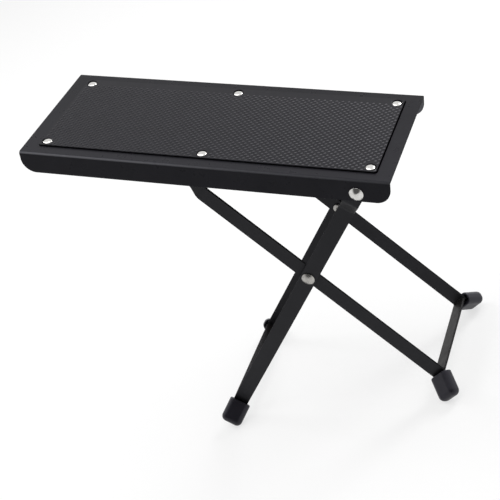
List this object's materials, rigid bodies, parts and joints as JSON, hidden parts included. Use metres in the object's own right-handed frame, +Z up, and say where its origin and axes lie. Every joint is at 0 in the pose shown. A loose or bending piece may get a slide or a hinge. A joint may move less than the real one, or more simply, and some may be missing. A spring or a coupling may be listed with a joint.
{
  "type": "folding guitar footrest",
  "caption": "Folding footrest for a guitarist: a matted steel tread on crossed flat-bar legs with rubber caps, hinged at one end and latched by a rod in notched racks.",
  "frame": {"origin": "on the floor, under the middle of the object's box, as it stands on its four rubber caps", "axes": "+X along the tread towards its low, hinged end; +Y across it towards the far side of the pictured view; +Z up"},
  "size_m": [0.24, 0.1132, 0.2597],
  "materials": {
    "plate_coat": "semi-gloss black powder coat on sheet steel",
    "leg_coat": "semi-gloss black powder coat on flat steel bar",
    "mat_rubber": "dark grey rubber with a fine raised pebble",
    "cap_rubber": "satin black moulded rubber",
    "nickel": "bright nickel plate",
    "zinc": "dull zinc plate"
  },
  "bodies": {
    "outer_frame": {"outer_leg_near": "leg_coat", "outer_leg_far": "leg_coat", "outer_cap_near": "cap_rubber", "outer_cap_far": "cap_rubber", "outer_cross_bar": "leg_coat", "centre_rivet_near": "zinc", "centre_rivet_far": "zinc", "centre_washer_near": "zinc", "centre_washer_far": "zinc"},
    "inner_frame": {"inner_leg_near": "leg_coat", "inner_leg_far": "leg_coat", "inner_cap_near": "cap_rubber", "inner_cap_far": "cap_rubber", "inner_cross_bar": "leg_coat", "latch_rod": "zinc"},
    "tread": {"tread_plate": "plate_coat", "tread_mat": "mat_rubber", "mat_rivet_1": "nickel", "mat_rivet_2": "nickel", "mat_rivet_3": "nickel", "mat_rivet_4": "nickel", "mat_rivet_5": "nickel", "mat_rivet_6": "nickel", "notch_rack_near": "plate_coat", "notch_rack_far": "plate_coat", "hinge_rivet_near": "nickel", "hinge_rivet_far": "nickel", "hinge_washer_near": "zinc", "hinge_washer_far": "zinc"}
  },
  "joints": [
    {"name": "tread_hinge", "type": "hinge", "parent": "outer_frame", "child": "tread", "pos_m": [0.0967, 0, 0.17607], "axis": [0, -1, 0], "range_deg": [0, 60]},
    {"name": "scissor_pivot", "type": "hinge", "parent": "outer_frame", "child": "inner_frame", "pos_m": [0.03301, 0, 0.11348], "axis": [0, -1, 0], "range_deg": [0, 99.3]}
  ],
  "couplings": [
    {"joint": "scissor_pivot", "follows": "tread_hinge", "ratio": 1.6545}
  ]
}
